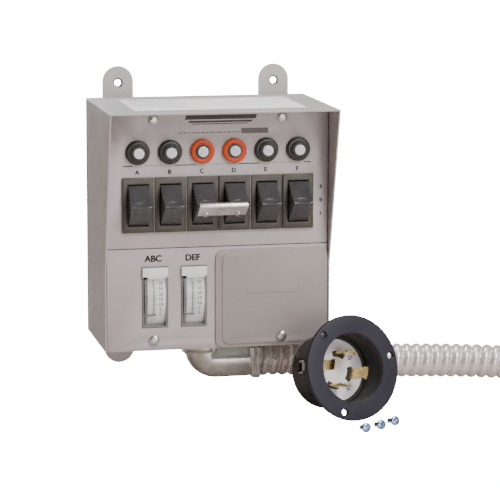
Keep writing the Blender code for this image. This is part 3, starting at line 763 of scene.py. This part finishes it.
def plateBar():
    # a low plain bar across the blank plate
    obj = addBox("plate_bar", (0.0230, plateFace - 0.0003, -0.0520), (0.0630, plateFace + 0.0004, -0.0470))
    finishWith(obj, 'BEVEL', width=0.0022, segments=5, limit_method='ANGLE', use_clamp_overlap=True)
    give(smooth(obj, 40), platePaint)


panelPrint()
labelOnTop()
plateBar()
print("covers, print and label made")

# Cover screws: pan heads with a cross recess.
coverScrew = {"radius": 0.0040, "rise": 0.0024, "recess": 0.0042, "slot": 0.00095, "deep": 0.0013,
              "shank": 0.0017, "length": 0.008, "thread": 0}


def screwShape(name, s):
    # head in front of Z = 0, shank behind it
    radius, rise, shank, length, thread = s["radius"], s["rise"], s["shank"], s["length"], s["thread"]
    crown = []
    for degrees in range(0, 90, 12):
        a = math.radians(degrees)
        crown.append((radius * math.cos(a), rise * (0.42 + 0.58 * math.sin(a))))
    profile = [(0, -length)]
    if thread:
        profile += [(shank * 0.4, -length + 0.0003)]
        profile += threadRidges(shank, -length + 0.0010, -0.0004, thread, thread * 0.55)
    else:
        profile += [(shank, -length)]
    profile += [(shank, 0), (radius, 0)] + crown + [(0, rise)]
    obj = lathe(name, profile, 40)
    floor = rise - s["deep"]
    for wide, high in ((s["recess"], s["slot"]), (s["slot"], s["recess"])):
        carve(obj, addBox("slot", (-wide / 2, -high / 2, floor), (wide / 2, high / 2, rise + 0.001)))
    return smooth(obj, 40)


def coverScrews():
    s = coverScrew
    head = screwShape("cover_screw", s)
    for i, corner in enumerate(("top_left", "top_right", "bottom_left", "bottom_right")):
        node = "cover_screw_" + corner
        low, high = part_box(node)
        at = Vector(((low[0] + high[0]) / 2, low[1] + s["rise"], (low[2] + high[2]) / 2))
        piece = copied(head, node + "_head", moved(at) @ outward @ turned(20 + 37 * i))
        give(piece, zinc)
        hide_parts(node)
    drop(head)


coverScrews()
print("cover screws made")

# Breakers: knurled collar, threaded bushing and a reset button.
breaker = {"collar": 0.0095, "rise": 0.0036, "bushing": 0.0055, "bore": 0.0046, "button": 0.0041,
           "height": 0.0613, "knurls": 36, "bite": 0.00035, "rating": 0.0034}


def collarRing(knurled):
    b = breaker
    r, hole, top = b["collar"], b["bushing"] + 0.0001, b["rise"]
    slices = b["knurls"] * 2
    profile = [(hole, 0), (r - 0.0003, 0), (r, 0.0003), (r, top - 0.0013), (r - 0.0004, top - 0.0006),
               (r - 0.0016, top), (hole + 0.0014, top), (hole + 0.0007, top - 0.0004), (hole, top - 0.0004),
               (hole, 0)]
    obj = lathe("collar", profile, slices)
    if knurled:
        edit(obj)

        def inGroove(face, spot):
            angle = (math.degrees(math.atan2(spot.y, spot.x)) % 360) / (360 / slices)
            return math.hypot(spot.x, spot.y) > r - 0.0012 and spot.z > 0.0002 and int(angle) % 2 == 0

        choose(obj, "faces", inGroove)
        bpy.ops.mesh.inset(thickness=0.00008, depth=-b["bite"], use_individual=False)
        done()
    return smooth(obj, 28)


def bushingThread(reach):
    bore, outer = breaker["bore"], breaker["bushing"]
    profile = [(bore, 0.0030), (outer - 0.0004, 0.0030)]
    profile += threadRidges(outer + 0.00012, 0.0032, reach - 0.0004, 0.0008, 0.00035)
    profile += [(outer - 0.0006, reach + 0.0001), (bore + 0.0002, reach + 0.0001), (bore, reach - 0.0003),
                (bore, 0.0030)]
    return smooth(lathe("thread", profile, 48), 35)


def resetButton(reach, tail):
    r = breaker["button"]
    crown = []
    for degrees in (0, 25, 50, 72):
        a = math.radians(degrees)
        crown.append((r * math.cos(a), reach - 0.0011 + 0.0008 * math.sin(a)))
    profile = [(0, -tail), (r, -tail)] + crown + [(r * 0.15, reach - 0.0001), (0, reach - 0.00005)]
    return smooth(lathe("button", profile, 48), 30)


def breakers():
    knurled, plain = collarRing(True), collarRing(False)
    for i, letter in enumerate(circuits):
        double = letter in "cd"
        at = moved((circuitX(i), panelFace, breaker["height"])) @ outward
        ring = copied(plain if double else knurled, "breaker_ring_" + letter, at)
        if double:
            give(ring, orangePlastic)
        else:
            give(ring, collarPlastic)
        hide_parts("breaker_collar_" + letter)
        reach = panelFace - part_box("breaker_body_" + letter)[0][1]
        thread = place(bushingThread(reach), at)
        thread.name = "breaker_thread_" + letter
        give(thread, collarPlastic)
        low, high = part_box("breaker_button_" + letter)
        button = place(resetButton(panelFace - low[1], high[1] - panelFace), at)
        button.name = "reset_button_" + letter
        give(button, whitePlastic, "button_" + letter)
        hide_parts("breaker_button_" + letter)
        rating = printed("30" if double else "15", breaker["rating"], circuitX(i), breaker["height"],
                         low[1] + 0.0003)
        rating.name = "button_rating_" + letter
        give(rating, ratingInk, "button_" + letter)
        dress("breaker_body_" + letter, casePlastic)
    drop(knurled)
    drop(plain)


ratingInk = plastic("ratingInk", (0.42, 0.42, 0.44), 0.5)
breakers()
print("breakers made")

# Switches: a bezel each and a dished rocker.
rocker = {"half": 0.0158, "crest": 0.0230, "crestUp": 0.0010, "edge": 0.0035, "wide": 0.0156, "hub": 0.0060,
          "pivot": 0.0895, "height": 0.0204, "upperBow": 0.0009, "lowerBow": 0.0004, "bevel": 0.0006,
          "crestRound": 0.0021, "dish": (0.0104, 0.0030, 0.0056), "dishAt": 0.16, "dishDeep": 0.0006}
dividers = {"after": (0, 1, 3), "low": 0.0124, "high": 0.0130}    # strips of panel that show between bezels


def bowed(start, end, bow, count=8):
    # points from start to end, sagging to the left of the way by bow
    start, end = Vector(start), Vector(end)
    side = Vector((-(end - start).y, (end - start).x)).normalized()
    steps = [i / count for i in range(count + 1)]
    return [start.lerp(end, t) + side * bow * 4 * t * (1 - t) for t in steps]


def rockerEnds():
    # how far up and down the rocker's face reaches at its shallow edges
    return rocker["half"] - rocker["edge"] ** 2 / (2 * rocker["half"])


def rockerShape():
    k = rocker
    ends = rockerEnds()
    crest = (k["crest"], k["crestUp"])
    line = bowed((k["edge"], -ends), crest, k["lowerBow"])
    line += bowed(crest, (k["edge"], ends), k["upperBow"])[1:]
    back = ((-0.0010, ends), (-k["hub"], ends * 0.45), (-k["hub"], -ends * 0.45), (-0.0010, -ends))
    line += [Vector(point) for point in back]
    obj = drawOut("rocker", line, k["wide"])
    edit(obj)
    crestSpot = Vector((0, -k["crest"], k["crestUp"]))
    choose(obj, "edges", lambda edge, spot: (spot - crestSpot).length < 0.0002)
    bpy.ops.mesh.bevel(offset=k["crestRound"], segments=5)
    done()
    deselectAll()
    bpy.ops.mesh.primitive_uv_sphere_add(segments=48, ring_count=24, radius=1, location=(0, 0, 0))
    dish = bpy.context.object
    lean = math.atan2(k["crest"] - k["edge"], ends - k["crestUp"])
    dish.scale = k["dish"]
    dish.rotation_euler = (-lean, 0, 0)
    middle = Vector(crest).lerp(Vector((k["edge"], ends)), k["dishAt"])
    off = k["dish"][1] - k["dishDeep"] - k["upperBow"] * 0.75    # how far its middle stands off the face
    dish.location = (0, -middle.x - off * math.cos(lean), middle.y + off * math.sin(lean))
    settle(dish)
    softEdges(obj, k["bevel"], 3, 24)
    carve(obj, dish)
    return smooth(obj, 22)


def switches():
    shape = rockerShape()
    for i, letter in enumerate(circuits):
        bezel = fromNode("switch_body_" + letter, "switch_bezel_" + letter, 0.0005)
        edit(bezel)
        x = circuitX(i)
        for side in (-1, 1):    # the panel shows between the bezels
            choose(bezel, "verts", lambda v, spot: (spot.x - x) * side > 0.0118)
            bpy.ops.transform.translate(value=(-side * 0.00025, 0, 0))
        done()
        give(bezel, bezelPlastic)
        at = moved((circuitX(i), -rocker["pivot"], rocker["height"]))
        piece = copied(shape, "switch_rocker_" + letter, at)
        give(piece, rockerPlastic, "rocker_pair" if letter in "cd" else "rocker_" + letter)
        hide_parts("rocker_" + letter)
    drop(shape)
    low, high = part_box("switch_body_a")
    strips = []
    for i in dividers["after"]:
        strips.append(addBox("strip", (circuitX(i) + dividers["low"], low[1] + 0.0009, low[2] + 0.0008),
                             (circuitX(i) + dividers["high"], panelFace + 0.0002, high[2] - 0.0008)))
    give(together("bezel_dividers", *strips), platePaint)


switches()
print("switches made")

# Handle tie over the middle pair, in bright formed steel.
tie = {"wide": 0.0384, "gauge": 0.0012, "upper": 0.0026, "lower": 0.0125, "roll": 0.0024, "screwAt": 0.0102}
tieScrew = {"radius": 0.0023, "rise": 0.0017, "recess": 0.0024, "slot": 0.0006, "deep": 0.0008,
            "shank": 0.0010, "length": 0.005, "thread": 0}


def handleTie():
    k, t = rocker, tie
    ends = rockerEnds()
    crest = Vector((k["crest"], k["crestUp"]))
    down = (Vector((k["edge"], -ends)) - crest).normalized()
    up = (Vector((k["edge"], ends)) - crest).normalized()
    outDown, outUp = Vector((-down.y, down.x)), Vector((up.y, -up.x))
    middle = crest - (outDown + outUp).normalized() * (t["roll"] - t["gauge"])
    first = math.degrees(math.atan2(outDown.y, outDown.x))
    last = math.degrees(math.atan2(outUp.y, outUp.x))
    line = [crest + down * t["lower"], crest + down * t["lower"] + outDown * t["gauge"]]
    line += [Vector(p) for p in arc(middle, t["roll"], first, last, 12)]
    line += [crest + up * t["upper"] + outUp * t["gauge"], crest + up * t["upper"], crest]
    obj = drawOut("tie", line, t["wide"])
    softEdges(obj, 0.00045, 3, 40)
    obj.name = "handle_tie_clip"
    axis = Vector((0, -rocker["pivot"], rocker["height"]))
    place(obj, moved(axis))
    give(obj, tieSteel, "rocker_pair")
    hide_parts("handle_tie")
    spot = crest + down * t["screwAt"] + outDown * t["gauge"]
    facing = Vector((0, -outDown.x, outDown.y)).to_track_quat('Z', 'Y').to_matrix().to_4x4()
    for side, x in (("left", -modulePitch / 2), ("right", modulePitch / 2)):
        head = screwShape("tie_screw_head_" + side, tieScrew)
        place(head, moved(axis + Vector((x, -spot.x, spot.y))) @ facing)
        give(head, zinc, "rocker_pair")
        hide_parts("tie_screw_" + side)


handleTie()
print("handle tie made")

# Meters: a curved scale card with printed ticks behind a clear lens.
meter = {"pivot": 0.0525, "height": -0.0526, "radius": 0.0380, "zero": -21.7, "sweep": 38.0, "steps": 30,
         "line": -0.0012, "number": 0.0035, "numberOff": 0.0046, "ruleBits": 24}
meterX = {"abc": -0.0502, "def": -0.0193}


def onScale(x, angle):
    # a spot on the curved card, with Z out of it
    axis = moved((x, -meter["pivot"], meter["height"]))
    return axis @ turned(90 - angle, 'X') @ moved((0, 0, meter["radius"]))


def scaleBar(left, right, half, at):
    # a printed bar on the card, from left to right of the ruled line
    line = meter["line"]
    return place(addBox("bar", (line + left, -half, -0.00005), (line + right, half, 0.00006)), at)


def scaleMarks(group):
    m, x = meter, meterX[group]
    bits = []
    for step in range(m["steps"] + 1):
        angle = m["zero"] + m["sweep"] * step / m["steps"]
        numbered = step % 5 == 0
        bits.append(scaleBar(0, 0.0030 if numbered else 0.0016, 0.00016, onScale(x, angle)))
        if numbered:
            bits.append(scaleBar(-0.0020, -0.0004, 0.0001, onScale(x, angle)))
            number = addText(str(step), m["number"], 0.00005, m["number"] * marks["weight"])
            bits.append(place(number, onScale(x + m["numberOff"], angle)))
    for i in range(m["ruleBits"]):
        angle = m["zero"] - 1 + (m["sweep"] + 5) * i / (m["ruleBits"] - 1)
        bits.append(scaleBar(-0.00032, 0.00032, 0.0006, onScale(x, angle)))
    give(together("meter_marks_" + group, *bits), ink)


meterFrame = plastic("meterFrame", (0.22, 0.205, 0.195), 0.35)


def meters():
    for group in groups:
        give(fromNode("meter_case_" + group, "meter_frame_" + group, 0.0003), meterFrame)
        give(fromNode("meter_scale_" + group, "meter_card_" + group, 0.0002), scaleCard)
        give(fromNode("meter_lens_" + group, "meter_window_" + group, 0.0003), lensPlastic)
        hand = fromNode("meter_pointer_" + group, "meter_hand_" + group, 0.0001)
        give(hand, ink, "pointer_" + group)
        scaleMarks(group)


meters()
print("meters made")

# Elbow: die-cast bend under the box, with a lid and a clamp bolt.
elbow = {"tube": 0.0145, "bend": 0.0105, "x": -0.0035, "y": -0.0450, "z": -0.1140, "top": -0.0955,
         "collarLow": -0.1045, "runEnd": 0.0330, "mouthFrom": 0.0325, "lipFrom": 0.0405, "mouth": 0.0428,
         "ears": (0.0352, 0.0395), "boss": (-0.0198, -0.0120), "grain": 0.00055}
clampBolt = {"radius": 0.0031, "rise": 0.0022, "recess": 0.0036, "slot": 0.0008, "deep": 0.0010,
             "shank": 0.0017, "length": 0.0250, "thread": 0.0007}
setScrew = {"radius": 0.0022, "rise": 0.0014, "recess": 0.0026, "slot": 0.0006, "deep": 0.0008,
            "shank": 0.0014, "length": 0.0040, "thread": 0.0005}


def addTube(name, radius, start, end, soft=0.0):
    start, end = Vector(start), Vector(end)
    deselectAll()
    bpy.ops.mesh.primitive_cylinder_add(vertices=56, radius=radius, depth=(end - start).length)
    obj = bpy.context.object
    obj.name = name
    turn = (end - start).to_track_quat('Z', 'Y').to_matrix().to_4x4()
    place(obj, moved((start + end) / 2) @ turn)
    return softEdges(obj, soft) if soft else obj


def elbowBend(middle):
    # a quarter turn of tube, closed at both ends
    e = elbow
    deselectAll()
    bpy.ops.mesh.primitive_circle_add(vertices=48, radius=e["tube"], location=(e["x"], e["y"], middle.z))
    bend = bpy.context.object
    settle(bend)
    edit(bend)
    selectWhole()
    bpy.ops.mesh.spin(steps=14, angle=math.pi / 2, center=middle, axis=(0, 1, 0))
    selectWhole()
    bpy.ops.mesh.fill_holes(sides=0)
    faceOutwards()
    return bend


def slantBox(name, low, high, shift):
    # a box whose top left edge is moved to the right
    obj = addBox(name, low, high)
    edit(obj)
    choose(obj, "verts", lambda v, spot: spot.x < low[0] + 0.001 and spot.z > -0.1)
    bpy.ops.transform.translate(value=(shift, 0, 0))
    done()
    return obj


def elbowCasting():
    e = elbow
    tube, x, y, z, top, mouth = e["tube"], e["x"], e["y"], e["z"], e["top"], e["mouth"]
    middle = Vector((x + e["bend"], y, z + e["bend"]))
    bend = elbowBend(middle)
    front = y - tube
    low = e["collarLow"]
    saddle = slantBox("saddle", (0, front - 0.0006, -0.1105), (0.0335, y + 0.0130, -0.0962), 0.0040)
    extras = [
        addTube("hub", tube, (x, y, middle.z - 0.001), (x, y, top)),
        addTube("collar", tube + 0.0013, (x, y, low), (x, y, top), 0.0008),
        addTube("run", tube, (middle.x - 0.001, y, z), (e["runEnd"], y, z)),
        addTube("mouth", tube + 0.0002, (e["mouthFrom"], y, z + 0.0004), (mouth, y, z + 0.0004), 0.0010),
        addTube("lip", tube + 0.0010, (e["lipFrom"], y, z), (mouth, y, z), 0.0005),
        softEdges(saddle, 0.0016),
        softEdges(addBox("foot", (0.0355, y - 0.0090, -0.1292), (0.0425, y + 0.0090, -0.1220)), 0.0012),
    ]
    for at in e["ears"]:
        ear = addBox("ear", (at - 0.0014, front - 0.0010, -0.1258), (at + 0.0014, front + 0.0075, -0.1020))
        extras.append(softEdges(ear, 0.0009))
    first, last = e["boss"]
    extras.append(addTube("screwBoss", 0.0030, (first, y - 0.0030, low), (last, y - 0.0030, low), 0.0006))
    bend = together("elbow_casting", bend, *extras)
    finishWith(bend, 'REMESH', mode='VOXEL', voxel_size=e["grain"], use_smooth_shade=True)
    finishWith(bend, 'SMOOTH', factor=0.6, iterations=7)
    give(bend, dieCast)
    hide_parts("elbow_body")


def elbowLid():
    # a lid set in a shallow frame, and the two screws
    e = elbow
    front = e["y"] - e["tube"]
    lid = slantBox("elbow_lid", (0.0016, front - 0.0011, -0.1092), (0.0322, front - 0.0002, -0.0970), 0.0042)
    edit(lid)
    choose(lid, "faces", lambda f, spot: f.normal.y < -0.9)
    bpy.ops.mesh.inset(thickness=0.0010, depth=0)
    bpy.ops.mesh.inset(thickness=0.0004, depth=-0.0004)
    done()
    softEdges(lid, 0.0003, 2)
    give(lid, lidMetal)
    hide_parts("elbow_clamp")
    bolt = screwShape("elbow_clamp_bolt", clampBolt)
    place(bolt, moved((0.0374, front + 0.0012, -0.1012)))
    give(bolt, zinc)
    tip = screwShape("elbow_set_screw", setScrew)
    place(tip, moved((e["boss"][0], e["y"] - 0.0030, e["collarLow"])) @ turned(-90, 'Y'))
    give(tip, zinc)


elbowCasting()
elbowLid()
dress("elbow_locknut", zinc)
print("elbow made")

# Flanged inlet, lying on its rim and its back end.
inlet = {"place": (0.0957, -0.1448), "turn": 17.5, "flange": 0.04115, "thick": 0.0032, "body": 0.0295,
         "end": 0.0285, "length": 0.0470, "mouth": 0.0269, "floor": 0.0270, "coreBack": 0.0337,
         "neck": 0.0200, "socketBack": 0.0420, "holes": 0.03565, "hole": 0.0025, "holeTurn": 9.5,
         "clipTurn": -12}
blade = {"circle": 0.0135, "half": 0.0008, "arc": 36, "turn": -20, "tip": 0.0215, "hook": 0.0026,
         "eye": 0.0011}
letters = {"size": 0.0050, "thick": 0.00005, "weight": 0.00008,
           "spots": (("30", 116, 0.0215), ("G", 30, 0.0165), ("W", 205, 0.0180), ("X", -60, 0.0180),
                     ("Y", -112, 0.0200))}


def inletPlace():
    i = inlet
    tilt = math.atan2(i["flange"] - i["end"], i["length"])
    at = moved((*i["place"], ground + i["flange"] * math.cos(tilt)))
    return at @ turned(i["turn"]) @ Matrix.Rotation(math.pi / 2 - tilt, 4, 'X')


def inletFlange():
    i = inlet
    r, m, t = i["flange"], i["mouth"], i["thick"]
    profile = [(m, -t), (m, -0.0004), (m + 0.0004, 0), (r - 0.0016, 0), (r - 0.0007, -0.0002),
               (r - 0.0002, -0.0007), (r, -0.0014), (r, -t + 0.0005), (r - 0.0005, -t), (m, -t)]
    ring = lathe("inlet_flange_ring", profile, 96)
    for k in range(3):
        angle = math.radians(i["holeTurn"] + 120 * k)
        spot = Vector((math.cos(angle), math.sin(angle), 0)) * i["holes"]
        carve(ring, place(countersunkHole(), moved(spot)))
    return smooth(ring, 30)


def countersunkHole():
    r = inlet["hole"]
    profile = [(0, -0.006), (r, -0.006), (r, -0.0008), (r + 0.0010, 0.0003), (r + 0.0010, 0.003), (0, 0.003)]
    return lathe("hole", profile, 41)


def inletShell():
    i = inlet
    b, e, t, m, long = i["body"], i["end"], i["thick"], i["mouth"], i["length"]
    ledge = -i["coreBack"] - 0.0003
    profile = [(m, -t), (b, -t), (b - 0.0001, -t - 0.0060), (b - 0.0007, -t - 0.0066),
               (e + 0.0003, -long + 0.0022), (e - 0.0001, -long + 0.0009), (e - 0.0010, -long),
               (i["neck"], -long), (i["neck"], ledge), (m, ledge), (m, -t)]
    shell = lathe("inlet_shell", profile, 96)
    slot = addBox("slot", (-b - 0.004, -0.006, -i["floor"] - 0.008), (-m + 0.002, 0.006, -i["floor"] + 0.001))
    carve(shell, place(slot, turned(i["clipTurn"])))
    return smooth(shell, 30)


def bladeShape(hooked):
    b = blade
    r, h, low, tip = b["circle"], b["half"], -inlet["floor"] - 0.002, -inlet["floor"] + b["tip"]
    outline = [(r - h, low), (r + h, low)]
    if hooked:
        outline += [(r + h, tip - 0.0015), (r + h + b["hook"], tip - 0.0015), (r + h + b["hook"], tip)]
    else:
        outline += [(r + h, tip - 0.0004), (r + h - 0.0004, tip)]
    outline += [(r - h + 0.0004, tip), (r - h, tip - 0.0004)]
    obj = sweep("blade", outline, math.radians(b["arc"] / 2))
    if hooked:
        carve(obj, addTube("hole", b["eye"], (r - 0.004, 0, tip - 0.0050), (r + 0.004, 0, tip - 0.0050)))
    softEdges(obj, 0.00018, 2, 40)
    return obj


def bladeSlot(turn):
    # a thin dark sheet round a blade's foot, just proud of the face: painted shade for the slot the blade
    # stands in
    inner, outer = blade["circle"] - 0.0030, blade["circle"] + 0.0015
    low, high = -inlet["floor"] - 0.0004, -inlet["floor"] + 0.00012
    outline = [(inner, low), (outer, low), (outer, high), (inner, high)]
    return place(sweep("slot", outline, math.radians(blade["arc"] / 2 + 7)), turned(turn))


def inletCore(at):
    i = inlet
    f, m, neck, back = i["floor"], i["mouth"] - 0.0003, i["neck"] - 0.0003, -i["coreBack"]
    profile = [(0, -f + 0.0003), (0.0070, -f + 0.0003), (0.0078, -f), (m - 0.0022, -f),
               (m - 0.0022, -f - 0.0010), (m, -f - 0.0010), (m, back), (neck, back),
               (neck, -i["socketBack"]), (0, -i["socketBack"])]
    core = place(smooth(lathe("inlet_face", profile, 96), 30), at)
    give(core, coreFace)
    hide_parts("inlet_core")
    profile = [(m - 0.0020, -f - 0.0006), (m, -f - 0.0006), (m, -f + 0.0016), (m - 0.0012, -f + 0.0016),
               (m - 0.0020, -f + 0.0008), (m - 0.0020, -f - 0.0006)]
    ring = place(lathe("inlet_dark_ring", profile, 96), at)
    give(smooth(ring, 30), bodyPlastic)
    # painted shade round each blade's foot
    slots = [place(bladeSlot(blade["turn"] + 90 * k), at) for k in range(4)]
    give(together("inlet_blade_slot_shade", *slots), bodyPlastic)


def inletBlades(at):
    hooked, plain = bladeShape(True), bladeShape(False)
    for k, side in enumerate(("right", "top", "left", "bottom")):
        shape = hooked if k == 0 else plain
        piece = copied(shape, "inlet_blade_" + side, at @ turned(blade["turn"] + 90 * k))
        give(piece, brass)
    drop(hooked)
    drop(plain)


def inletLetters(at):
    printedOn = []
    for text, angle, radius in letters["spots"]:
        letter = addText(text, letters["size"], letters["thick"], letters["weight"])
        spot = moved((0, radius, -inlet["floor"] + 0.00006))
        printedOn.append(place(letter, at @ turned(angle - 90) @ spot))
    give(together("inlet_letters", *printedOn), blueInk)


def inletClips(at):
    f, b = inlet["floor"], inlet["body"]
    clips = []
    for y in (-0.0048, 0.0040):
        clip = addBox("clip", (-b + 0.0002, y - 0.0008, -f - 0.0070), (-b + 0.0022, y + 0.0010, -f - 0.0002))
        softEdges(clip, 0.0003, 2)
        clips.append(place(clip, at @ turned(inlet["clipTurn"])))
    give(together("inlet_clips", *clips), zinc)


def flangedInlet():
    at = inletPlace()
    ring = place(inletFlange(), at)
    give(ring, flangePlastic)
    shell = place(inletShell(), at)
    give(shell, bodyPlastic)
    shell.data.materials.append(shadedWellPlastic)
    # painted shade: the inside of the well gets a darker copy of the body plastic
    middle, ahead = at.translation, at.to_3x3() @ Vector((0, 0, 1))
    for face in shell.data.polygons:
        away = face.center - middle
        if (away - ahead * away.dot(ahead)).length < inlet["mouth"] + 0.0002:
            face.material_index = 1
    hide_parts("inlet_housing")
    inletCore(at)
    inletBlades(at)
    inletLetters(at)
    inletClips(at)


blueInk = plastic("blueInk", (0.05, 0.05, 0.12), 0.6)
flangedInlet()
print("inlet made")

# Three loose flange screws in front of it.
looseScrew = {"radius": 0.0038, "rise": 0.0022, "recess": 0.0046, "slot": 0.0010, "deep": 0.0013,
              "shank": 0.0019, "length": 0.0095, "thread": 0.0010}
looseSpots = ((0.0929, -0.1935), (0.1064, -0.1870), (0.1201, -0.1770))
looseLay = {"turn": 10, "turnStep": 4, "roll": 25, "rollStep": 50, "headRadius": 0.0040,
            "shankRadius": 0.0020}


def looseScrews():
    # each lies on its head's rim and its tip
    k = looseLay
    tilt = math.atan2(k["headRadius"] - k["shankRadius"], looseScrew["length"])
    high = ground + k["headRadius"] * math.cos(tilt) + 0.0003
    shape = screwShape("loose", looseScrew)
    for i, (x, y) in enumerate(looseSpots):
        turn = turned(k["turn"] + k["turnStep"] * i) @ Matrix.Rotation(math.pi / 2 - tilt, 4, 'X')
        roll = turned(k["roll"] + k["rollStep"] * i)
        piece = copied(shape, "loose_screw_%d" % (i + 1), moved((x, y, high)) @ turn @ roll)
        give(piece, blueZinc)
        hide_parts("inlet_screw_%d" % (i + 1))
    drop(shape)


looseScrews()
print("loose screws made")
